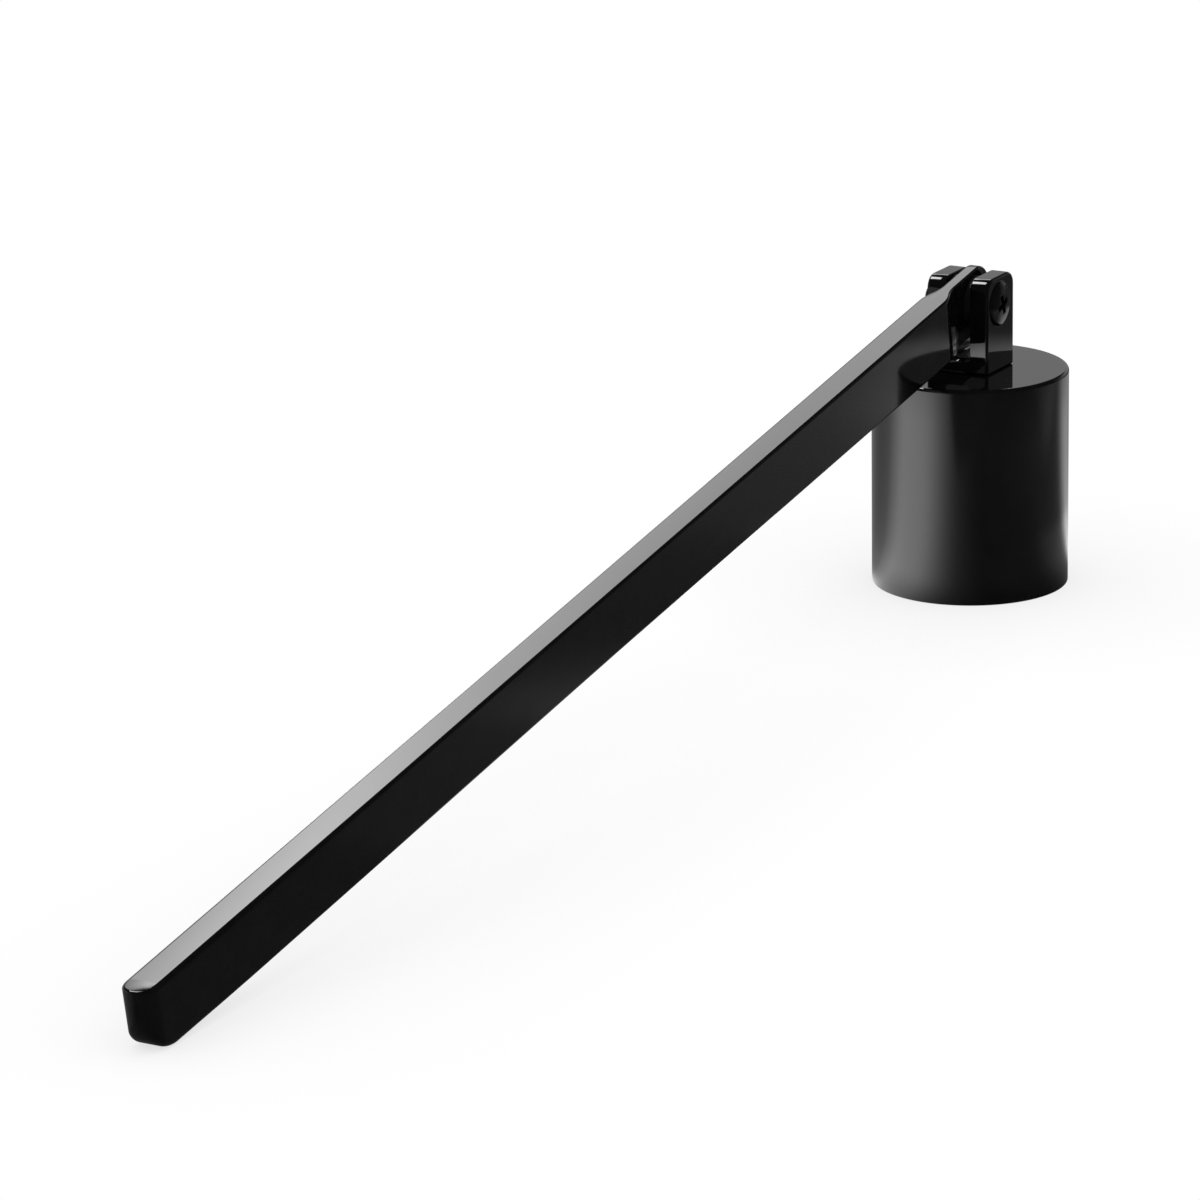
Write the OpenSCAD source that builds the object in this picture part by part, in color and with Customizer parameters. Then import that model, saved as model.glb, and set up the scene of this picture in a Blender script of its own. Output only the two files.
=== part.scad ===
// Candle snuffer: a plain cylindrical bell hinged to a long flat handle.
// The bell stands on its rim and the nose of the handle rests on the same table.
// Millimetres, +Z up. The origin is on the bell's axis, in the plane of its rim.
// The handle points along -X and the hinge turns about Y.

/* [Bell] */
// Outer diameter of the bell
bell_d = 22; // [18:0.5:32]
// Height of the bell from rim to flat top
bell_h = 24.6; // [18:0.2:36]
// Thickness of the side wall
bell_wall = 1; // [0.7:0.1:1.5]
// Thickness of the flat top
bell_top_t = 1.2; // [0.9:0.1:2]
// Rounding of the outer edge round the flat top
bell_edge_r = 0.4; // [0.2:0.05:0.6]
// Small chamfer on both sides of the rim
rim_break = 0.15; // [0.05:0.05:0.3]

/* [Hinge bracket] */
// Width of each ear along the handle
ear_w = 6.7; // [6.2:0.1:8]
// Thickness of each ear
ear_t = 2.2; // [1.8:0.1:3]
// Height of the ears above the bell
ear_h = 10.75; // [10.2:0.1:13]
// Rounding of the two top corners of an ear
ear_corner_r = 1; // [0.6:0.1:2]
// Thickness of the web that joins the ears
web_t = 1.4; // [1:0.1:3]
// Rounding between the web and the ears
web_r = 0.4; // [0.2:0.05:0.6]
// Height of the hinge axis above the bell
pivot_rise = 7.6; // [7.2:0.1:7.8]
// Distance of the hinge axis from the bell's axis, towards the handle
pivot_shift = 0.3; // [0:0.05:0.4]

/* [Handle] */
// Length from the hinge axis to the nose
handle_reach = 171.9; // [130:0.1:220]
// Thickness of the bar, seen from above
bar_t = 3.3; // [2.2:0.1:3.7]
// Top edge of the bar above the hinge axis
bar_top = 3.55; // [3.2:0.05:3.8]
// Bottom edge of the straight bar below the hinge axis
bar_drop = 3.36; // [2.9:0.01:3.6]
// Bottom edge below the hinge axis at the hinge itself
root_drop = 3.76; // [3.6:0.01:4]
// Length of the tongue past the hinge axis
root_reach = 3.75; // [3.5:0.05:4.2]
// Rounding of both corners at the end of the tongue
root_r = 2.6; // [1.5:0.1:3.2]
// Length over which the bottom edge runs from the hinge depth to the bar depth
taper_len = 85; // [40:1:110]
// Thickness of the tongue between the ears
tongue_t = 1.4; // [1.2:0.1:2]
// Distance from the hinge axis to the end of the plain tongue
neck_start = 4.7; // [4.2:0.1:5.4]
// Angle that each of the two arcs on a side of the neck turns through
neck_turn = 30; // [11.25:3.75:37.5]
// Rounding of the nose's lower corner
nose_low_r = 4; // [2:0.1:5]
// Rounding of the nose's upper corner
nose_top_r = 1.1; // [0.3:0.1:1.3]

/* [Hinge screw] */
// Diameter of the screw that the handle turns on
pin_d = 3; // [2.5:0.1:3.2]
// Diameter of the screw's head
pin_head_d = 4.9; // [4.4:0.1:5.2]
// Thickness of the screw's head
pin_head_t = 0.9; // [0.7:0.1:1.4]
// Depth of the near ear's seat for the head
pin_seat_depth = 0.4; // [0.2:0.1:0.6]
// Rounding of the head's rim
pin_head_r = 0.5; // [0.1:0.05:0.6]
// Length by which the screw stands out of the far ear
pin_stand_out = 1.1; // [0.4:0.1:2]
// Chamfer on the screw's end
pin_end_chamfer = 0.3; // [0.1:0.05:0.5]
// Span of the cross recess in the head
cross_span = 2.2; // [1.8:0.1:2.8]
// Width of each slot of the cross recess
cross_w = 0.6; // [0.4:0.05:0.8]
// Depth of the cross recess
cross_depth = 0.5; // [0.3:0.05:0.6]
// Turn of the cross recess about the hinge axis
cross_turn = 20; // [0:5:85]
// Thickness of each spacer washer
spacer_t = 0.8; // [0.5:0.05:1.1]
// Diameter of each spacer washer
spacer_d = 5.8; // [5:0.1:6]

/* [Screw inside the bell] */
// Diameter of the screw that holds the bracket
fix_screw_d = 3; // [2.5:0.1:3.2]
// Diameter of that screw's head
fix_head_d = 5.6; // [5:0.1:6.4]
// Thickness of that screw's head
fix_head_t = 1.1; // [0.9:0.1:1.6]
// Rounding of that head's rim
fix_head_r = 0.25; // [0.1:0.05:0.4]
// Key size of the hexagon socket in that head
fix_socket_w = 2; // [1.5:0.1:2.4]
// Depth of the hexagon socket
fix_socket_depth = 0.7; // [0.4:0.1:0.8]
// Diameter of the washer under that head
fix_washer_d = 7; // [6.6:0.1:8]
// Thickness of that washer
fix_washer_t = 0.4; // [0.3:0.1:0.6]
// Distance from the end of the bell's plain bore up to that head
bore_head_room = 0.4; // [0.2:0.1:0.8]

/* [Fits] */
// Radial clearance between the hinge screw and the handle's bore
run_fit = 0.04; // [0.02:0.01:0.08]
// Radial clearance round the fixed screws and in the ears
still_fit = 0.05; // [0.03:0.01:0.1]
// Side play of the tongue against each spacer washer
side_play = 0.05; // [0.03:0.01:0.1]

/* [Hidden] */
$fn = 96;
// Overrun of every cut past the faces that it opens
over = 0.5;

pivot_z = bell_h + pivot_rise;
ear_gap = tongue_t + 2 * (spacer_t + side_play);
bracket_w = ear_gap + 2 * ear_t;

// The rounding between the bell's wall and ceiling starts below the screw's head,
// so whatever fills the plain bore stays clear of it.
bell_ceiling_r = fix_washer_t + fix_head_t + bore_head_room;

// The nose touches the table where its lower corner's arc is lowest,
// and that settles how far the handle slopes down.
nose_arc_u = handle_reach - nose_low_r;
nose_arc_v = nose_low_r - bar_drop;
slope_deg = asin((pivot_z - nose_low_r) / norm([nose_arc_u, nose_arc_v]))
    + atan2(nose_arc_v, nose_arc_u);

// Each side of the neck is two equal arcs that meet halfway.
neck_step = (bar_t - tongue_t) / 2;
neck_arc_r = neck_step / (2 * (1 - cos(neck_turn)));
neck_len = 2 * neck_arc_r * sin(neck_turn);
neck_end = neck_start + neck_len;

pin_len = bracket_w - pin_seat_depth + pin_stand_out;
fix_screw_len = fix_washer_t + bell_top_t + web_t;

// A rectangle on the X axis, centred on the Y axis, with round top corners.
module round_top_plate(w, h, r) {
    translate([-w / 2, 0]) square([w, h - r]);
    translate([r - w / 2, 0]) square([w - 2 * r, h]);
    for (side = [-1, 1])
        translate([side * (w / 2 - r), h - r]) circle(r);
}

// A flat head on the Z axis from zero up, with its upper rim rounded.
module round_head(d, t, r) {
    rotate_extrude()
        intersection() {
            round_top_plate(d, t, r);
            square([d, t]);
        }
}

// A plain ring on the Z axis from zero up.
module ring(d, bore_d, t) {
    difference() {
        cylinder(d = d, h = t);
        translate([0, 0, -over]) cylinder(d = bore_d, h = t + 2 * over);
    }
}

// Puts what stands on the Z axis on the hinge axis, pointing along +Y from y.
module on_hinge_axis(y) {
    translate([-pivot_shift, y, pivot_z]) rotate([-90, 0, 0]) children();
}

module bell_section() {
    difference() {
        round_top_plate(bell_d, bell_h, bell_edge_r);
        round_top_plate(bell_d - 2 * bell_wall, bell_h - bell_top_t, bell_ceiling_r);
        polygon([
            [bell_d / 2 - rim_break, 0],
            [bell_d / 2 + over, 0],
            [bell_d / 2 + over, rim_break + over]
        ]);
        polygon([
            [bell_d / 2 - bell_wall - rim_break, 0],
            [bell_d / 2 - bell_wall + rim_break, 0],
            [bell_d / 2 - bell_wall, rim_break]
        ]);
    }
}

module bell() {
    color([0.12, 0.12, 0.13])
        difference() {
            rotate_extrude()
                intersection() {
                    bell_section();
                    square([bell_d, bell_h]);
                }
            cylinder(d = fix_screw_d + 2 * still_fit, h = bell_h + over);
        }
}

module ear_gap_section() {
    depth = ear_h - web_t;
    translate([-ear_gap / 2, web_t + web_r]) square([ear_gap, depth]);
    translate([web_r - ear_gap / 2, web_t]) square([ear_gap - 2 * web_r, depth]);
    for (side = [-1, 1])
        translate([side * (ear_gap / 2 - web_r), web_t + web_r]) circle(web_r);
}

module hinge_bracket() {
    color([0.22, 0.22, 0.24])
        difference() {
            translate([0, bracket_w / 2, bell_h])
                rotate([90, 0, 0])
                    linear_extrude(bracket_w) round_top_plate(ear_w, ear_h, ear_corner_r);
            translate([-ear_w / 2 - over, 0, bell_h])
                rotate([90, 0, 90])
                    linear_extrude(ear_w + 2 * over) ear_gap_section();
            on_hinge_axis(-bracket_w / 2 - over)
                cylinder(d = pin_d + 2 * still_fit, h = bracket_w + 2 * over);
            on_hinge_axis(-bracket_w / 2 - over)
                cylinder(d = pin_head_d + 2 * still_fit, h = pin_seat_depth + over);
            translate([0, 0, bell_h - over])
                cylinder(d = fix_screw_d + 2 * still_fit, h = web_t + 2 * over);
        }
}

module bell_washer() {
    color([0.55, 0.56, 0.58])
        translate([0, 0, bell_h - bell_top_t - fix_washer_t])
            ring(fix_washer_d, fix_screw_d + 2 * still_fit, fix_washer_t);
}

module bell_fixing_screw() {
    color([0.3, 0.3, 0.33])
        translate([0, 0, bell_h - bell_top_t - fix_washer_t]) {
            cylinder(d = fix_screw_d, h = fix_screw_len);
            mirror([0, 0, 1])
                difference() {
                    round_head(fix_head_d, fix_head_t, fix_head_r);
                    translate([0, 0, fix_head_t - fix_socket_depth])
                        cylinder(d = fix_socket_w / cos(30), h = fix_socket_depth + over, $fn = 6);
                }
        }
}

// What a round corner of radius r takes off a square corner at the origin.
module corner_cut(r) {
    difference() {
        translate([-r, -r]) square(r + over);
        translate([-r, -r]) circle(r);
    }
}

// The handle from the side, with the hinge axis at the origin and the nose along +X.
module handle_side() {
    difference() {
        polygon([
            [-root_reach, bar_top],
            [handle_reach, bar_top],
            [handle_reach, -bar_drop],
            [taper_len, -bar_drop],
            [0, -root_drop],
            [-root_reach, -root_drop]
        ]);
        translate([-root_reach, bar_top]) mirror([1, 0]) corner_cut(root_r);
        translate([-root_reach, -root_drop]) rotate(180) corner_cut(root_r);
        translate([handle_reach, bar_top]) corner_cut(nose_top_r);
        translate([handle_reach, -bar_drop]) mirror([0, 1]) corner_cut(nose_low_r);
    }
}

// What is cut from one side of the bar, seen from above, to leave the tongue and its neck.
module neck_cut() {
    mid_u = (neck_start + neck_end) / 2;
    mid_w = (bar_t + tongue_t) / 4;
    outer_w = bar_t / 2 + over;
    translate([-root_reach - over, tongue_t / 2])
        square([root_reach + over + neck_start, outer_w - tongue_t / 2]);
    intersection() {
        translate([neck_start, tongue_t / 2 + neck_arc_r]) circle(neck_arc_r);
        translate([neck_start - over, 0]) square([neck_len + over, outer_w]);
    }
    difference() {
        translate([mid_u, mid_w]) square([neck_len / 2, outer_w - mid_w]);
        translate([neck_end, bar_t / 2 - neck_arc_r]) circle(neck_arc_r);
    }
}

// What is cut from the end of the bar, seen from above, to leave the half-round nose.
module nose_cut() {
    nose_u = handle_reach - bar_t / 2;
    difference() {
        translate([nose_u, -bar_t / 2 - over]) square([bar_t / 2 + over, bar_t + 2 * over]);
        translate([nose_u, 0]) circle(d = bar_t);
    }
}

module handle() {
    color([0.35, 0.36, 0.4])
        translate([-pivot_shift, 0, pivot_z])
            rotate([0, -slope_deg, 0])
                difference() {
                    translate([0, -bar_t / 2, 0])
                        rotate([90, 0, 180]) linear_extrude(bar_t) handle_side();
                    translate([0, 0, -root_drop - over])
                        rotate([0, 0, 180])
                            linear_extrude(root_drop + bar_top + 2 * over) {
                                neck_cut();
                                mirror([0, 1]) neck_cut();
                                nose_cut();
                            }
                    translate([0, -bar_t / 2 - over, 0])
                        rotate([-90, 0, 0])
                            cylinder(d = pin_d + 2 * run_fit, h = bar_t + 2 * over);
                }
}

module pivot_screw() {
    seat_y = pin_seat_depth - bracket_w / 2;
    color([0.45, 0.45, 0.48])
        difference() {
            union() {
                on_hinge_axis(seat_y) cylinder(d = pin_d, h = pin_len - pin_end_chamfer);
                on_hinge_axis(seat_y + pin_len - pin_end_chamfer)
                    cylinder(d1 = pin_d, d2 = pin_d - 2 * pin_end_chamfer, h = pin_end_chamfer);
                on_hinge_axis(seat_y)
                    mirror([0, 0, 1]) round_head(pin_head_d, pin_head_t, pin_head_r);
            }
            on_hinge_axis(seat_y - pin_head_t + cross_depth)
                rotate([180, 0, cross_turn])
                    for (quarter = [0, 90])
                        rotate([0, 0, quarter])
                            translate([-cross_span / 2, -cross_w / 2, 0])
                                cube([cross_span, cross_w, cross_depth + over]);
        }
}

module spacer_washer_near() {
    color([0.8, 0.8, 0.76])
        on_hinge_axis(-ear_gap / 2) ring(spacer_d, pin_d + 2 * still_fit, spacer_t);
}

module spacer_washer_far() {
    color([0.8, 0.8, 0.76])
        on_hinge_axis(ear_gap / 2 - spacer_t) ring(spacer_d, pin_d + 2 * still_fit, spacer_t);
}

bell();
hinge_bracket();
bell_fixing_screw();
bell_washer();
handle();
pivot_screw();
spacer_washer_near();
spacer_washer_far();
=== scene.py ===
import math

import bmesh
import bpy
from mathutils import Matrix, Vector

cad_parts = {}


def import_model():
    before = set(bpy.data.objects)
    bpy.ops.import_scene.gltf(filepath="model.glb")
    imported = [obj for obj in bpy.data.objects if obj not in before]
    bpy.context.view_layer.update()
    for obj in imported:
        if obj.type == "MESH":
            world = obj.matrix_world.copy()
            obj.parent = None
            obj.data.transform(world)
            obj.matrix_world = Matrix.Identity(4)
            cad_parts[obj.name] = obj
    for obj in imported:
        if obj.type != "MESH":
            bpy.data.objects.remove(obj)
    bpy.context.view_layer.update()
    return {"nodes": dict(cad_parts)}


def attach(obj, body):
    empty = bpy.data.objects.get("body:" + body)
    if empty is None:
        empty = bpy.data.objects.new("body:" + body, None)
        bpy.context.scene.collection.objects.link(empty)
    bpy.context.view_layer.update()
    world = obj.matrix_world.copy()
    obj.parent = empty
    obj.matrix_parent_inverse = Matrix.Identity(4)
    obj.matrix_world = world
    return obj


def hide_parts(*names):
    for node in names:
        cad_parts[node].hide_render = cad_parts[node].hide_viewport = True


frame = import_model()

MM = 0.001


# ---------------------------------------------------------------- node helpers

class Nodes:
    """Builds one node tree with short calls."""

    def __init__(self, tree):
        self.tree = tree
        tree.nodes.clear()

    def add(self, kind):
        return self.tree.nodes.new(kind)

    def link(self, a, b):
        self.tree.links.new(a, b)

    def math(self, op, *values):
        """A math node on numbers or on the outputs of other nodes."""
        node = self.add("ShaderNodeMath")
        node.operation = op
        for i, v in enumerate(values):
            if isinstance(v, (int, float)):
                node.inputs[i].default_value = v
            else:
                self.link(v, node.inputs[i])
        return node.outputs[0]

    def plus(self, a, b):
        return self.math("ADD", a, b)

    def minus(self, a, b):
        return self.math("SUBTRACT", a, b)

    def times(self, a, b):
        return self.math("MULTIPLY", a, b)

    def smooth(self, value, lo, hi, out_lo=0.0, out_hi=1.0):
        """Goes from out_lo to out_hi while the value goes from lo to hi."""
        node = self.add("ShaderNodeMapRange")
        node.interpolation_type = "SMOOTHSTEP"
        self.link(value, node.inputs["Value"])
        node.inputs["From Min"].default_value = lo
        node.inputs["From Max"].default_value = hi
        node.inputs["To Min"].default_value = out_lo
        node.inputs["To Max"].default_value = out_hi
        return node.outputs["Result"]

    def noise(self, vector, scale, detail, rough):
        node = self.add("ShaderNodeTexNoise")
        self.link(vector, node.inputs["Vector"])
        node.inputs["Scale"].default_value = scale
        node.inputs["Detail"].default_value = detail
        node.inputs["Roughness"].default_value = rough
        return node.outputs["Fac"]

    def axes(self, vector):
        """The X, Y and Z of a vector."""
        node = self.add("ShaderNodeSeparateXYZ")
        self.link(vector, node.inputs[0])
        return node.outputs

    def vector(self, op, a, b=None):
        node = self.add("ShaderNodeVectorMath")
        node.operation = op
        self.link(a, node.inputs[0])
        if b is not None:
            node.inputs[1].default_value = b
        return node

    def mix(self, share, first, second):
        """The first shader where the share is 0, and the second where it is 1."""
        node = self.add("ShaderNodeMixShader")
        for i, source in enumerate((share, first, second)):
            self.link(source, node.inputs[i])
        return node.outputs[0]


def new_material(name):
    mat = bpy.data.materials.new(name)
    mat.use_nodes = True
    n = Nodes(mat.node_tree)
    out = n.add("ShaderNodeOutputMaterial")
    return mat, n, out.inputs["Surface"]


# ---------------------------------------------------------------- finishes

def ring_marks(n, place, centre, direction, pitch, amount):
    """The height of fine turning marks round an axis."""
    shift = n.vector("SUBTRACT", place, centre)
    flat = n.vector("MULTIPLY", shift.outputs[0], [0.0 if d else 1.0 for d in direction])
    radius = n.vector("LENGTH", flat.outputs[0]).outputs["Value"]
    return n.times(n.math("SINE", n.times(radius, 2 * math.pi / pitch)), amount)


def principled(name, color, rough, tint, peel, metallic=0.0, wave=None, fine=0.0, specular=0.5,
               top_gloss=1.0):
    """A dark finish whose roughness, colour and surface vary a little, as a real coat does.

    rough is its least and most roughness, tint how far the colour varies, peel the height and
    the scale of its waviness, wave its turning marks and fine the height of its grain.
    """
    mat, n, surface = new_material(name)
    shader = n.add("ShaderNodeBsdfPrincipled")
    shader.inputs["Metallic"].default_value = metallic
    shader.inputs["IOR"].default_value = 1.5
    shader.inputs["Specular IOR Level"].default_value = specular
    n.link(shader.outputs[0], surface)
    place = n.add("ShaderNodeTexCoord").outputs["Object"]

    cloud = n.noise(place, 160.0, 4.0, 0.55)
    speck = n.noise(place, 5200.0, 2.0, 0.6)
    mottle = n.plus(n.times(cloud, 0.75), n.times(speck, 0.25))
    dull = n.smooth(mottle, 0.32, 0.68, *rough)
    if top_gloss < 1.0:
        # A face that looks up was polished flat, so it is glossier than the turned side.
        facing = n.axes(n.add("ShaderNodeNewGeometry").outputs["True Normal"])
        dull = n.times(dull, n.smooth(facing["Z"], 0.3, 0.9, 1.0, top_gloss))
    n.link(dull, shader.inputs["Roughness"])

    shade = n.add("ShaderNodeMix")
    shade.data_type = "RGBA"
    n.link(n.smooth(n.noise(place, 420.0, 5.0, 0.6), 0.3, 0.7), shade.inputs["Factor"])
    shade.inputs["A"].default_value = (*[c * (1 - tint) for c in color], 1)
    shade.inputs["B"].default_value = (*[c * (1 + tint) for c in color], 1)
    n.link(shade.outputs["Result"], shader.inputs["Base Color"])

    peel_height, peel_scale = peel
    height = n.times(n.noise(place, peel_scale, 2.0, 0.4), peel_height)
    if fine:
        height = n.plus(height, n.times(speck, fine))
    if wave:
        height = n.plus(height, ring_marks(n, place, *wave))
    bump = n.add("ShaderNodeBump")
    bump.inputs["Strength"].default_value = 1.0
    bump.inputs["Distance"].default_value = 1.0
    n.link(height, bump.inputs["Height"])
    n.link(bump.outputs[0], shader.inputs["Normal"])
    return mat


LACQUER = (0.0013, 0.0013, 0.0014)
# The hinge's axis in the XZ plane, in mm.
HINGE_X, HINGE_Z = -0.3, 32.2
HINGE_AXIS = ((-0.0003, 0, 0.0322), (0, 1, 0))
BELL_AXIS = ((0, 0, 0), (0, 0, 1))

lacquer = principled("black_lacquer_bell", LACQUER, (0.1, 0.15), 0.3, (4.0e-7, 500.0),
                     fine=6.0e-9, top_gloss=0.35)
lacquer_bracket = principled("black_lacquer_bracket", LACQUER, (0.035, 0.06), 0.3, (3.0e-7, 500.0),
                             fine=5.0e-9)
lacquer_bar = principled("black_lacquer_bar", LACQUER, (0.05, 0.09), 0.3, (3.0e-7, 500.0),
                         fine=6.0e-9)
screw_black = principled("black_oxide_screw", (0.0015, 0.0015, 0.0016), (0.05, 0.1), 0.3,
                         (6e-7, 2500.0), specular=0.2, wave=(*HINGE_AXIS, 0.00022, 6e-8))
screw_inside = principled("black_oxide_inside", (0.02, 0.02, 0.022), (0.18, 0.34), 0.3,
                          (1.5e-6, 2500.0), metallic=1.0, wave=(*BELL_AXIS, 0.00018, 6e-7))
zinc = principled("bright_zinc", (0.45, 0.45, 0.46), (0.2, 0.42), 0.12, (2e-6, 1800.0),
                  metallic=1.0, wave=(*BELL_AXIS, 0.00025, 8e-7))
nylon = principled("black_nylon", (0.004, 0.004, 0.004), (0.3, 0.42), 0.2, (4e-6, 2600.0),
                   fine=2e-7, specular=0.3)


def coat(obj, mat):
    obj.data.materials.clear()
    obj.data.materials.append(mat)


# ---------------------------------------------------------------- mesh helpers

# Two corners closer than this, in metres, are one corner.
SAME_POINT = 2e-7


def object_from(bm, name):
    """Puts a mesh into the scene as an object."""
    mesh = bpy.data.meshes.new(name)
    bm.to_mesh(mesh)
    bm.free()
    obj = bpy.data.objects.new(name, mesh)
    bpy.context.scene.collection.objects.link(obj)
    return obj


def finish_piece(bm, name, body, mat, node, sharp=40.0):
    """Turns a mesh into the shown piece that stands for a node."""
    bmesh.ops.recalc_face_normals(bm, faces=bm.faces)
    obj = object_from(bm, name)
    for p in obj.data.polygons:
        p.use_smooth = True
    obj.data.set_sharp_from_angle(angle=math.radians(sharp))
    weigh = obj.modifiers.new("even_normals", "WEIGHTED_NORMAL")
    weigh.keep_sharp = True
    weigh.weight = 80
    coat(obj, mat)
    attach(obj, body)
    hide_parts(node)


def clean_copy(node):
    """The node's surface as clean polygons: one vertex a corner, one face a plane."""
    bm = bmesh.new()
    bm.from_mesh(frame["nodes"][node].data)
    bmesh.ops.remove_doubles(bm, verts=bm.verts, dist=SAME_POINT)
    bmesh.ops.dissolve_limit(bm, angle_limit=math.radians(0.6), verts=bm.verts, edges=bm.edges,
                             delimit=set())
    return bm


def round_edges(bm, rounds, sharp=30.0):
    """Rounds convex edges; rounds is a list of (test of both ends in mm, radius in mm, segments)."""
    for test, radius, segments in rounds:
        edges = [e for e in bm.edges if len(e.link_faces) == 2
                 and e.calc_face_angle_signed() > math.radians(sharp)
                 and all(test(v.co / MM) for v in e.verts)]
        if edges:
            bmesh.ops.bevel(bm, geom=edges, offset=radius * MM, offset_type="OFFSET",
                            segments=segments, profile=0.5, affect="EDGES", clamp_overlap=False)
    bmesh.ops.remove_doubles(bm, verts=bm.verts, dist=SAME_POINT)


def circle_points(cx, cz, r, steps):
    return [(cx + r * math.cos(2 * math.pi * k / steps), cz + r * math.sin(2 * math.pi * k / steps))
            for k in range(steps)]


def arc_points(cx, cz, r, a0, a1, steps):
    """Points on an arc from one angle to another, in degrees."""
    return [(cx + r * math.cos(math.radians(a0 + (a1 - a0) * i / steps)),
             cz + r * math.sin(math.radians(a0 + (a1 - a0) * i / steps))) for i in range(steps + 1)]


def prism(outline, y_low, y_high):
    """A solid with an outline in X and Z, in mm, drawn out along Y."""
    bm = bmesh.new()
    low = [bm.verts.new((x * MM, y_low * MM, z * MM)) for x, z in outline]
    high = [bm.verts.new((x * MM, y_high * MM, z * MM)) for x, z in outline]
    bm.faces.new(low)
    bm.faces.new(list(reversed(high)))
    for i in range(len(low)):
        j = (i + 1) % len(low)
        bm.faces.new((low[i], low[j], high[j], high[i]))
    bmesh.ops.recalc_face_normals(bm, faces=bm.faces)
    return bm


def cut(bm, cutter):
    """The first mesh with the second one taken away."""
    body, tool = [object_from(part, "cut_work") for part in (bm, cutter)]
    take = body.modifiers.new("take", "BOOLEAN")
    take.operation, take.solver, take.object = "DIFFERENCE", "EXACT", tool
    bpy.context.view_layer.update()
    shown = body.evaluated_get(bpy.context.evaluated_depsgraph_get())
    result = bmesh.new()
    result.from_mesh(shown.to_mesh())
    shown.to_mesh_clear()
    for obj in (body, tool):
        mesh = obj.data
        bpy.data.objects.remove(obj)
        bpy.data.meshes.remove(mesh)
    return result


def from_hinge(p):
    """The square of a point's distance from the hinge's axis, in mm."""
    return (p.x - HINGE_X) ** 2 + (p.z - HINGE_Z) ** 2


# Such squares: past the seat of the screw's head, up to the seat's rim, and round the cross
# recess in the head.
PAST_SEAT, SEAT_RIM, ROUND_RECESS = 7.5, 6.6, 1.7


# ---------------------------------------------------------------- handle

# In the handle's own frame: u from the hinge towards the nose, v up, w across, all in mm.
REACH, BAR_T, BAR_TOP, BAR_DROP = 171.9, 3.3, 3.55, 3.36
ROOT_DROP, ROOT_REACH, ROOT_R, TAPER = 3.76, 3.75, 2.6, 85.0
ROOT_END = ROOT_R - ROOT_REACH
ROOT_SIDE_R = 0.2
HINGE_BORE_R = 1.54
# The neck is two arcs on each side, which turn through the same angle.
TONGUE_T, NECK_START, NECK_TURN = 1.4, 4.4, math.radians(24.0)
NECK_STEP = (BAR_T - TONGUE_T) / 2
NECK_R = NECK_STEP / (2 * (1 - math.cos(NECK_TURN)))
NECK_END = NECK_START + 2 * NECK_R * math.sin(NECK_TURN)
NOSE_LOW_R = 4.0
# The bar grows a little thicker towards the nose, by this much on each side.
NOSE_FLARE = 0.18
NOSE_TIP = 171.77
# The roundings of the nose's edges: above at its sides and at its tip, and below.
NOSE_EDGE_SIDE, NOSE_EDGE_TIP, NOSE_EDGE_LOW = 0.48, 0.3, 0.73
NOSE_STEPS = 48
PIVOT = Vector((HINGE_X, 0.0, HINGE_Z))


def table_slope():
    """How far the bar leans for its nose's lower corner to touch the table."""
    along, above = REACH - NOSE_LOW_R, NOSE_LOW_R - BAR_DROP
    return math.asin((PIVOT.z - NOSE_LOW_R) / math.hypot(along, above)) + math.atan2(above, along)


def ease(a, b, x):
    """Goes smoothly from 0 at a to 1 at b."""
    t = min(max((x - a) / (b - a), 0.0), 1.0)
    return t * t * (3 - 2 * t)


def arc_drop(r, past):
    """How far a round corner of radius r has fallen at a distance past its start."""
    past = min(max(past, 0.0), r)
    return r - math.sqrt(max(r * r - past * past, 0.0))


def top_at(u):
    return BAR_TOP - arc_drop(ROOT_R, ROOT_END - u)


def bottom_at(u):
    level = -ROOT_DROP + (ROOT_DROP - BAR_DROP) * min(max(u, 0.0), TAPER) / TAPER
    return level + arc_drop(ROOT_R, ROOT_END - u) + arc_drop(NOSE_LOW_R, u - (REACH - NOSE_LOW_R))


def half_width_at(u):
    if u < NECK_START:
        past = ROOT_SIDE_R - (u + ROOT_REACH)
        return TONGUE_T / 2 - arc_drop(ROOT_SIDE_R, past)
    if u < (NECK_START + NECK_END) / 2:
        return TONGUE_T / 2 + arc_drop(NECK_R, u - NECK_START)
    if u < NECK_END:
        return BAR_T / 2 - arc_drop(NECK_R, NECK_END - u)
    return BAR_T / 2 + NOSE_FLARE * ease(95.0, 165.0, u)


def edge_roundings(u, w, height):
    """The roundings of the upper and the lower edges along the bar."""
    e_top = 0.22 + 0.14 * ease(4.0, 9.0, u) + 0.12 * ease(120.0, 160.0, u)
    e_low = e_top + 0.25 * ease(155.0, 170.0, u)
    limit = max(min(w, height / 2), 1e-3) * 0.98
    return min(e_top, limit), min(e_low, limit)


def half_section(top, low_of, w, e_top, e_low, steps=7):
    """Half a cross-section, from the middle of the top round to the middle of the bottom."""
    points = [(0.0, top)]
    for k in range(steps + 1):
        a = math.radians(90 - 90 * k / steps)
        points.append((w - e_top + e_top * math.cos(a), top - e_top + e_top * math.sin(a)))
    start, end = top - e_top, low_of(w) + e_low
    points += [(w, start + (end - start) * t) for t in (0.33, 0.67)]
    for k in range(steps + 1):
        a = math.radians(90 * k / steps)
        rho = w - e_low + e_low * math.cos(a)
        points.append((rho, low_of(rho) + e_low * (1 - math.sin(a))))
    inner = w - e_low
    points += [(inner * t, low_of(inner * t)) for t in (0.8, 0.6, 0.4, 0.2, 0.0)]
    return points


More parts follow.
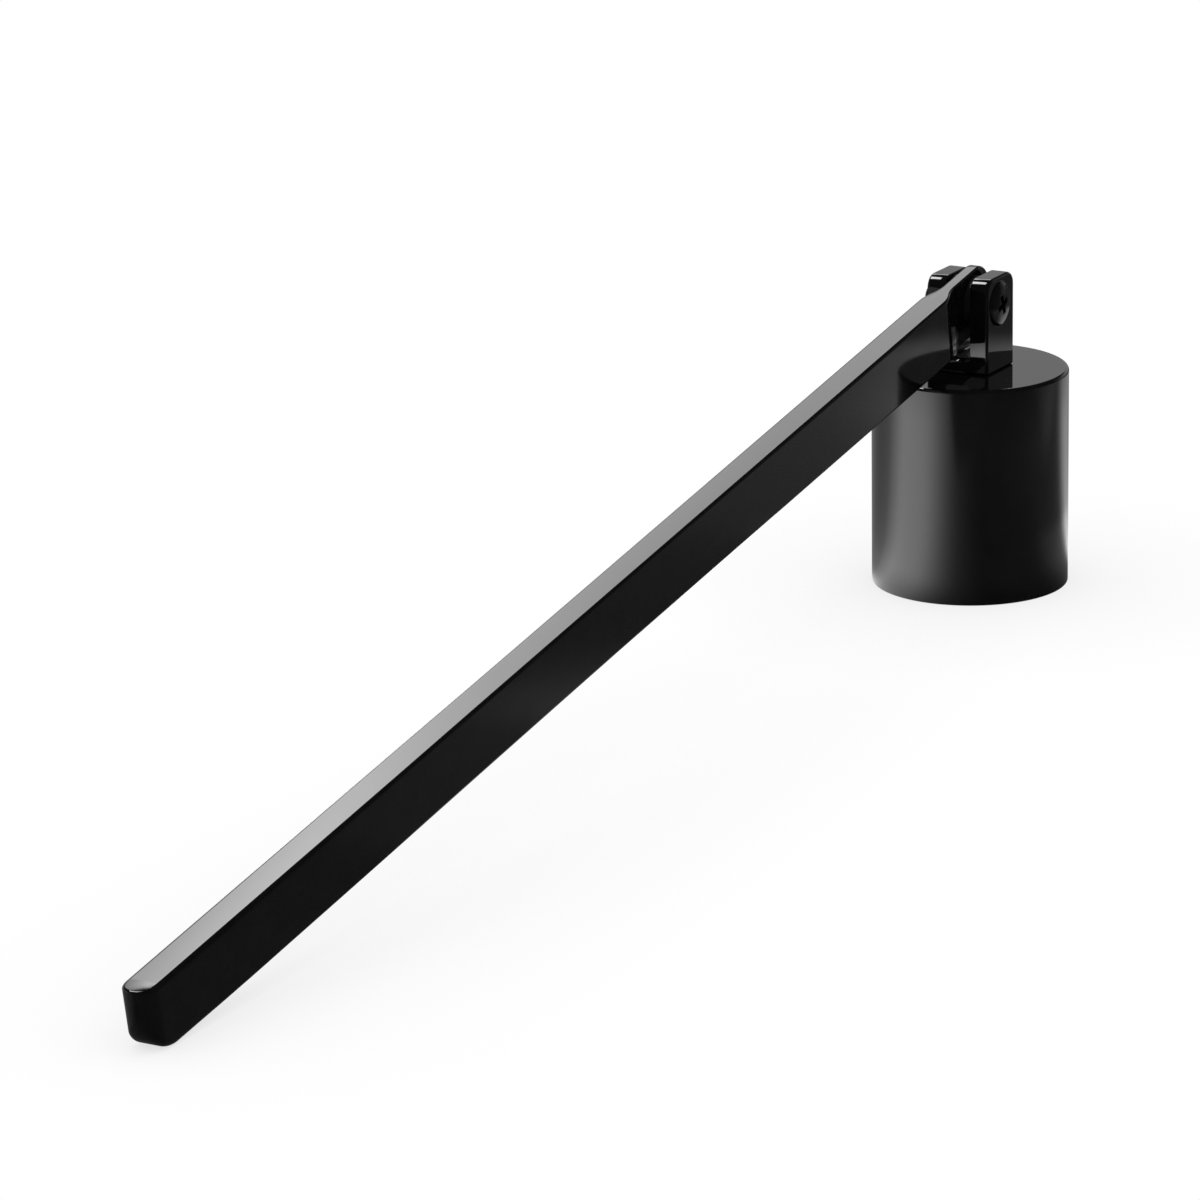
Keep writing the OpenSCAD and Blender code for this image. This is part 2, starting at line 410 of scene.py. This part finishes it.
def stations(nose):
    """Where the bar's sections lie: close where its outline turns, wide where it is straight."""
    spans = ((-ROOT_REACH, ROOT_END, 22, True), (ROOT_END, NECK_START, 4, False),
             (NECK_START, NECK_END, 22, False), (NECK_END, 16.0, 3, False), (16.0, TAPER, 14, False),
             (TAPER, 160.0, 16, False), (160.0, nose, 22, False))
    found = []
    for a, b, count, dense in spans:
        for i in range(count):
            t = i / count
            found.append(a + (b - a) * (1 - math.cos(t * math.pi / 2) if dense else t))
    return found + [nose]


def handle_mesh():
    """The bar from section to section, closed by a fan of sections round the nose's axis."""
    nose_r = BAR_T / 2 + NOSE_FLARE
    nose = NOSE_TIP - nose_r
    bm = bmesh.new()
    turn = Matrix.Rotation(-table_slope(), 4, "Y")

    def place(u, w, v):
        return bm.verts.new((turn @ Vector((-u, w, v)) + PIVOT) * MM)

    def skin(sections):
        for a, b in zip(sections, sections[1:]):
            for i in range(len(a) - 1):
                bm.faces.new((a[i], a[i + 1], b[i + 1], b[i]))

    sides = {1: [], -1: []}
    for u in stations(nose):
        top, low, w = top_at(u), bottom_at(u), half_width_at(u)
        points = half_section(top, lambda rho: low, w, *edge_roundings(u, w, top - low))
        for side in (1, -1):
            sides[side].append([place(u, side * rho, v) for rho, v in points])
    skin(sides[1])
    skin(sides[-1])
    fan = [sides[1][-1]]
    for i in range(1, NOSE_STEPS):
        ang = math.pi * i / NOSE_STEPS
        ahead = math.sin(ang)
        e_top = NOSE_EDGE_SIDE + (NOSE_EDGE_TIP - NOSE_EDGE_SIDE) * ease(0.15, 0.85, ahead)
        points = half_section(BAR_TOP, lambda rho: bottom_at(nose + rho * ahead), nose_r, e_top,
                              NOSE_EDGE_LOW)
        fan.append([place(nose + rho * ahead, rho * math.cos(ang), v) for rho, v in points])
    skin(fan + [sides[-1][-1]])
    first, second = sides[1][0], sides[-1][0]
    bm.faces.new(first + list(reversed(second))[1:-1])
    bmesh.ops.remove_doubles(bm, verts=bm.verts, dist=1e-7)
    bmesh.ops.dissolve_degenerate(bm, edges=bm.edges, dist=1e-8)
    bmesh.ops.recalc_face_normals(bm, faces=bm.faces)
    return cut(bm, prism(circle_points(HINGE_X, HINGE_Z, HINGE_BORE_R, 96), -4.0, 4.0))


# ---------------------------------------------------------------- bell and bracket

def lathe(profile, steps):
    """A closed ring of revolution about Z from (radius, height) points in mm."""
    bm = bmesh.new()
    rings = []
    for k in range(steps):
        ang = 2 * math.pi * k / steps
        rings.append([bm.verts.new((r * math.cos(ang) * MM, r * math.sin(ang) * MM, z * MM))
                      for r, z in profile])
    n = len(profile)
    for k in range(steps):
        a, b = rings[k], rings[(k + 1) % steps]
        for i in range(n):
            j = (i + 1) % n
            bm.faces.new((a[i], b[i], b[j], a[j]))
    return bm


BELL_R, BORE_R, SCREW_HOLE_R, BELL_TOP, CEILING = 11.0, 10.0, 1.55, 24.6, 23.4
# The roundings of the rim, of the corner inside and of the edge on top.
RIM_R, INSIDE_R, TOP_EDGE_R = 0.15, 1.9, 0.4
# The bell's section, from the hole in its ceiling down the inside and up the outside.
BELL_PROFILE = (
    [(SCREW_HOLE_R, CEILING), (BORE_R - INSIDE_R, CEILING)]
    + arc_points(BORE_R - INSIDE_R, CEILING - INSIDE_R, INSIDE_R, 80, 10, 9)
    + [(BORE_R, CEILING - INSIDE_R), (BORE_R, 16.0), (BORE_R, 8.0)]
    + arc_points(BORE_R + RIM_R, RIM_R, RIM_R, 180, 270, 5)
    + arc_points(BELL_R - RIM_R, RIM_R, RIM_R, 270, 360, 5)
    + [(BELL_R, 8.0), (BELL_R, 16.0)]
    + arc_points(BELL_R - TOP_EDGE_R, BELL_TOP - TOP_EDGE_R, TOP_EDGE_R, 0, 90, 12)
    + [(6.0, BELL_TOP), (SCREW_HOLE_R, BELL_TOP)])


def ear_corner(side, r=1.5, x_face=3.35, z_top=35.35):
    """What is taken from both ears to round their top corners on one side."""
    cx, cz = side * (x_face - r), z_top - r
    arc = [(cx + side * r * math.sin(math.radians(a)), cz + r * math.cos(math.radians(a)))
           for a in range(0, 91, 5)]
    outside = [(side * (x_face + 1), cz), (side * (x_face + 1), z_top + 1), (cx, z_top + 1)]
    return prism(arc + outside, -5.0, 5.0)


def on_ear_outside(p):
    """At the rim of an ear's outer face."""
    return abs(p.y) > 3.745 and from_hinge(p) > PAST_SEAT


def in_fork(p):
    """At the rim of an ear's inner face."""
    return 1.5 < abs(p.y) < 3.4 and p.z > 24.7 and from_hinge(p) > PAST_SEAT


def on_screw_seat(p):
    """At the rim of the head's seat in the near ear, or of the screw's hole in the far ear."""
    return from_hinge(p) < SEAT_RIM and abs(p.y) > 3.7


def bracket_mesh():
    bm = cut(cut(clean_copy("hinge_bracket"), ear_corner(1)), ear_corner(-1))
    bmesh.ops.remove_doubles(bm, verts=bm.verts, dist=SAME_POINT)
    round_edges(bm, [(on_ear_outside, 0.3, 5), (in_fork, 0.14, 3), (on_screw_seat, 0.1, 3)])
    return bm


# ---------------------------------------------------------------- hinge screw

# The head's flat rim stands this far out, and its dome this much further.
HEAD_EDGE, HEAD_DOME = 0.42, 0.48
# The bottom of the seat that the head rests on.
SCREW_SEAT_Y = -3.35


def cross_cutter():
    """The cross recess of the hinge screw's head, as two crossed bars in one outline."""
    span, width, depth, turn = 2.2, 0.6, 0.5, math.radians(20)
    head_y = SCREW_SEAT_Y - HEAD_EDGE - HEAD_DOME
    a, b = span / 2, width / 2
    outline = [(a, -b), (a, b), (b, b), (b, a), (-b, a), (-b, b), (-a, b), (-a, -b), (-b, -b),
               (-b, -a), (b, -a), (b, -b)]
    turned = [(x * math.cos(turn) - z * math.sin(turn) + HINGE_X,
               x * math.sin(turn) + z * math.cos(turn) + HINGE_Z) for x, z in outline]
    return prism(turned, head_y - 0.5, head_y + depth)


def on_cross_recess(p):
    """At the mouth of the cross recess."""
    return p.y < -3.9 and from_hinge(p) < ROUND_RECESS


def hinge_screw():
    """The hinge screw: a domed head with a cross recess, a plain shank and a chamfered end."""
    head_r, shank_r, shank_end, chamfer, steps = 2.45, 1.5, 8.2, 0.3, 96
    profile = [(0.0, -HEAD_EDGE - HEAD_DOME)]
    for i in range(1, 13):
        ang = math.radians(90 * i / 12)
        profile.append((head_r * math.sin(ang), -HEAD_EDGE - HEAD_DOME * math.cos(ang)))
    profile += [(head_r, -0.03), (head_r - 0.03, 0.0), (shank_r, 0.0), (shank_r, 4.1),
                (shank_r, shank_end - chamfer), (shank_r - chamfer, shank_end), (0.0, shank_end)]
    bm = bmesh.new()
    rings = []
    for k in range(steps):
        ang = 2 * math.pi * k / steps
        rings.append([bm.verts.new((r * math.cos(ang), z, r * math.sin(ang))) for r, z in profile])
    for k in range(steps):
        a, b = rings[k], rings[(k + 1) % steps]
        for i in range(len(profile) - 1):
            bm.faces.new((a[i], b[i], b[i + 1], a[i + 1]))
    bmesh.ops.remove_doubles(bm, verts=bm.verts, dist=1e-5)
    move = Matrix.Translation(Vector((HINGE_X, SCREW_SEAT_Y, HINGE_Z)))
    bmesh.ops.transform(bm, matrix=Matrix.Scale(MM, 4) @ move, verts=bm.verts)
    bmesh.ops.recalc_face_normals(bm, faces=bm.faces)
    screw = cut(bm, cross_cutter())
    bmesh.ops.remove_doubles(screw, verts=screw.verts, dist=SAME_POINT)
    round_edges(screw, [(on_cross_recess, 0.07, 3)])
    return screw


# ---------------------------------------------------------------- pieces

finish_piece(lathe(BELL_PROFILE, 240), "bell_shell", "bell_unit", lacquer, "bell")
finish_piece(bracket_mesh(), "hinge_bracket_block", "bell_unit", lacquer_bracket,
             "hinge_bracket", 50)
finish_piece(handle_mesh(), "handle_bar", "handle_arm", lacquer_bar, "handle")
finish_piece(hinge_screw(), "hinge_screw_body", "bell_unit", screw_black,
             "pivot_screw", 50)

for node, mat in (("bell", lacquer), ("hinge_bracket", lacquer_bracket), ("handle", lacquer_bar),
                  ("pivot_screw", screw_black), ("bell_fixing_screw", screw_inside),
                  ("bell_washer", zinc), ("spacer_washer_near", nylon), ("spacer_washer_far", nylon)):
    coat(frame["nodes"][node], mat)


# ---------------------------------------------------------------- studio

UP = (0, 0, 1)
WHITE = (1, 1, 1, 1)


def stage_plane(name, size, location, normal, mat, glossy, camera, solid):
    """A flat part of the studio, and which rays see it."""
    bm = bmesh.new()
    w, h = size
    bm.faces.new([bm.verts.new((x * w / 2, y * h / 2, 0))
                  for x, y in ((-1, -1), (1, -1), (1, 1), (-1, 1))])
    obj = object_from(bm, name)
    obj.rotation_euler = Vector(normal).to_track_quat("Z", "Y").to_euler()
    obj.location = location
    obj.visible_glossy = glossy
    obj.visible_camera = camera
    obj.visible_diffuse = solid
    obj.visible_shadow = solid
    obj.visible_transmission = camera
    obj.data.materials.append(mat)
    return obj


def floor_paint():
    """A pale table for the light, which the camera sees as clear white with the object's shade.

    The shade is painted into the film's colour from ambient occlusion, as an even tent of light
    would cast it. A handle that is let down past the table's level stays in sight.
    """
    shade_reach, shade_depth = 0.03, 0.3
    mat, n, surface = new_material("studio_floor")
    table = n.add("ShaderNodeBsdfDiffuse")
    table.inputs["Color"].default_value = (0.86, 0.86, 0.86, 1)
    near = n.add("ShaderNodeAmbientOcclusion")
    near.samples = 16
    near.inputs["Distance"].default_value = shade_reach
    film = n.add("ShaderNodeBsdfTransparent")
    # Painted shade: the film's colour darkens near the object by its ambient occlusion.
    dark = n.times(n.minus(1.0, near.outputs["AO"]), shade_depth)
    n.link(n.minus(1.0, dark), film.inputs["Color"])
    seen = n.add("ShaderNodeLightPath").outputs["Is Camera Ray"]
    n.link(n.mix(seen, table.outputs[0], film.outputs[0]), surface)
    return mat


def glow_ramp(n, value, stops, top):
    """A curve through (position, level) points, as a strength."""
    ramp = n.add("ShaderNodeValToRGB")
    ramp.color_ramp.interpolation = "B_SPLINE"
    n.link(value, ramp.inputs["Fac"])
    first, last = stops[0], stops[-1]
    points = ramp.color_ramp.elements
    points[0].position, points[0].color = first[0], (*[first[1] / top] * 3, 1)
    points[1].position, points[1].color = last[0], (*[last[1] / top] * 3, 1)
    for where, level in stops[1:-1]:
        point = points.new(where)
        point.color = (*[level / top] * 3, 1)
    return n.times(ramp.outputs["Color"], top)


# Degrees round the bell, from the direction away from the handle, and how bright the table is
# there to a glossy surface.
FLOOR_GLOW = (
    (0, 0.4), (30, 0.3), (78, 0.25), (104, 0.6), (118, 2.2), (128, 3.4), (150, 3.5), (160, 3.0),
    (168, 2.2), (177, 1.24), (186, 0.6), (195, 0.28), (205, 0.15), (212, 0.1), (220, 0.08),
    (230, 0.08), (265, 0.1), (275, 0.12), (286, 0.15), (298, 0.16), (308, 0.17), (316, 0.19),
    (322, 0.26), (328, 0.55), (336, 1.05), (345, 1.0), (359.9, 0.4))
FLOOR_GLOW_TOP = 3.6
# Along the softbox from its left end, and how bright it is there.
SOFTBOX_GLOW = (
    (0.0, 0.1), (0.2, 0.6), (0.28, 1.6), (0.34, 2.8), (0.385, 4.1), (0.41, 3.8), (0.437, 3.1),
    (0.465, 2.7), (0.493, 2.45), (0.521, 2.2), (0.55, 2.05), (0.62, 2.3), (0.7, 2.6), (0.75, 1.6),
    (0.79, 0.1), (1.0, 0.05))
SOFTBOX_GLOW_TOP = 8.0


def emission(name):
    """A material that only glows, and the socket for how much."""
    mat, n, surface = new_material(name)
    glow = n.add("ShaderNodeEmission")
    n.link(glow.outputs[0], surface)
    return mat, n, glow.inputs["Strength"]


def mirror_floor_paint():
    """What glossy surfaces see of the table, by the direction and the distance from the bell."""
    mat, n, strength = emission("studio_floor_glow")
    place = n.axes(n.add("ShaderNodeNewGeometry").outputs["Position"])
    x, y = place["X"], place["Y"]
    round_bell = n.math("FRACT", n.plus(n.math("DIVIDE", n.math("ARCTAN2", y, x), 2 * math.pi), 1.0))
    far = n.math("SQRT", n.plus(n.times(x, x), n.times(y, y)))
    front = n.smooth(y, 0.0, -0.02)

    def scaled(level, share, amount):
        """The level, times 1 where the share is 0 and 1 plus the amount where it is 1."""
        return n.times(level, n.plus(1.0, n.times(share, amount)))

    # The handle's side mirrors a strip of table: its left end is dark, and past it is brighter.
    lean = n.plus(y, n.times(x, 0.17))
    left_front = n.times(n.smooth(x, -0.058, -0.075), n.smooth(lean, -0.0229, -0.0279))
    beyond = n.smooth(lean, -0.045, -0.065)
    level = glow_ramp(n, round_bell, [(d / 360.0, v) for d, v in FLOOR_GLOW], FLOOR_GLOW_TOP)
    level = n.plus(n.times(level, n.minus(1.0, left_front)), n.times(left_front, 0.05))
    level = n.times(level, n.smooth(far, 0.104, 0.118, 1.0, 0.15))
    level = scaled(level, beyond, n.smooth(x, 0.02, 0.05, 0.3, 1.5))
    level = n.times(level, n.minus(1.0, n.times(front, n.smooth(far, 0.075, 0.1, 0.0, 0.3))))
    near_right = n.times(n.smooth(far, 0.038, 0.03), n.times(front, n.smooth(x, 0.0, 0.012)))
    level = scaled(level, near_right, 0.9)
    level = n.plus(level, n.times(left_front, 0.06))
    level = n.times(level, n.smooth(far, 0.011, 0.022, 0.6, 1.0))
    n.link(level, strength)
    return mat


def softbox_paint():
    """A softbox that is brightest left of its middle and fades to all four edges."""
    mat, n, strength = emission("studio_softbox")
    place = n.axes(n.add("ShaderNodeTexCoord").outputs["Object"])
    level = glow_ramp(n, n.plus(place["X"], 0.5), SOFTBOX_GLOW, SOFTBOX_GLOW_TOP)
    rise = n.times(n.smooth(place["Y"], -0.2, -0.08), n.smooth(place["Y"], 0.0, 0.12, 1.0, 1.4))
    rise = n.times(rise, n.smooth(place["Y"], 0.2, 0.15))
    n.link(n.times(level, rise), strength)
    return mat


def overhead_paint():
    mat, n, strength = emission("studio_overhead")
    strength.default_value = 14.0
    return mat


def softbox_behind():
    """The softbox whose sheen lies along the handle's top, placed where that face mirrors it."""
    aim = Vector((-0.05, 0.0, 0.028))
    toward = Vector((0.687, 0.474, 0.55)).normalized()
    obj = stage_plane("studio_softbox_behind", (1.0, 0.5), aim + toward, UP, softbox_paint(),
                      glossy=True, camera=False, solid=False)
    right = Vector((toward.y, -toward.x, 0)).normalized()
    up = right.cross(-toward) * -1
    if up.z < 0:
        up = -up
    obj.rotation_euler = Matrix((right, up, right.cross(up))).transposed().to_euler()


def world():
    """White to the camera, even for soft light, and a tent of two tones to glossy surfaces."""
    w = bpy.data.worlds.new("studio")
    bpy.context.scene.world = w
    w.use_nodes = True
    n = Nodes(w.node_tree)
    out = n.add("ShaderNodeOutputWorld")
    place = n.axes(n.add("ShaderNodeTexCoord").outputs["Generated"])
    # Above the horizon the tent is grey behind, and dark towards the front and right.
    ahead = n.plus(n.times(place["X"], 0.6), n.times(place["Y"], 0.8))
    behind = n.smooth(ahead, -0.1, 0.55)
    low = n.smooth(place["Z"], 0.45, 0.3)
    tent = n.plus(0.04, n.times(n.times(behind, low), 0.5))

    def sky(strength):
        node = n.add("ShaderNodeBackground")
        node.inputs["Color"].default_value = WHITE
        if isinstance(strength, float):
            node.inputs["Strength"].default_value = strength
        else:
            n.link(strength, node.inputs["Strength"])
        return node.outputs[0]

    path = n.add("ShaderNodeLightPath").outputs
    unseen = n.mix(path["Is Glossy Ray"], sky(1.0), sky(tent))
    n.link(n.mix(path["Is Camera Ray"], unseen, sky(1.0)), out.inputs["Surface"])


def lamp(name, location, aim, size, power):
    """A soft lamp that lights the object and isn't mirrored in it."""
    data = bpy.data.lights.new(name, "AREA")
    data.shape = "RECTANGLE"
    data.size, data.size_y = size
    data.energy = power
    obj = bpy.data.objects.new(name, data)
    bpy.context.scene.collection.objects.link(obj)
    obj.location = location
    obj.rotation_euler = (Vector(location) - Vector(aim)).to_track_quat("Z", "Y").to_euler()
    obj.visible_glossy = False


stage_plane("studio_floor", (6, 6), (0, 0, -0.00001), UP, floor_paint(),
            glossy=False, camera=True, solid=True)
stage_plane("studio_floor_seen_in_gloss", (6, 6), (0, 0, -0.00002), UP, mirror_floor_paint(),
            glossy=True, camera=False, solid=False)
world()
lamp("softbox_top", (-0.1, -0.1, 1.2), (-0.08, 0, 0), (1.4, 1.4), 12.5)
softbox_behind()
# A small bright panel overhead gives the thin bright lines on the rounded edges.
OVERHEAD = Vector((0.02, 0.48, 0.877))
stage_plane("studio_panel_overhead", (0.34, 0.34), Vector((-0.08, 0, 0.02)) + OVERHEAD, -OVERHEAD,
            overhead_paint(), glossy=True, camera=False, solid=False)


# ---------------------------------------------------------------- camera

# The camera that fits the photo, with its focal length in pixels of the photo's own width.
CAMERA_MM = Vector((-600.504, -293.674, 196.323))
YAW, PITCH, ROLL = math.radians(60.367), math.radians(16.546), math.radians(-0.913)
FOCAL_PX, PHOTO_PX, SENSOR_MM = 6179.255, 1200, 36.0


def camera():
    ahead = Vector((math.sin(YAW) * math.cos(PITCH), math.cos(YAW) * math.cos(PITCH),
                    -math.sin(PITCH)))
    level_right = Vector((math.cos(YAW), -math.sin(YAW), 0))
    level_up = level_right.cross(ahead)
    c, s = math.cos(ROLL), math.sin(ROLL)
    right, up = c * level_right + s * level_up, c * level_up - s * level_right
    data = bpy.data.cameras.new("photo_view")
    data.sensor_fit = "HORIZONTAL"
    data.sensor_width = SENSOR_MM
    data.lens = FOCAL_PX / PHOTO_PX * SENSOR_MM
    data.clip_start = 0.01
    data.clip_end = 20.0
    obj = bpy.data.objects.new("photo_view", data)
    bpy.context.scene.collection.objects.link(obj)
    turn = Matrix((right, up, -ahead)).transposed().to_4x4()
    obj.matrix_world = Matrix.Translation(CAMERA_MM * MM) @ turn
    bpy.context.scene.camera = obj


camera()
bpy.context.scene.view_settings.view_transform = "Standard"
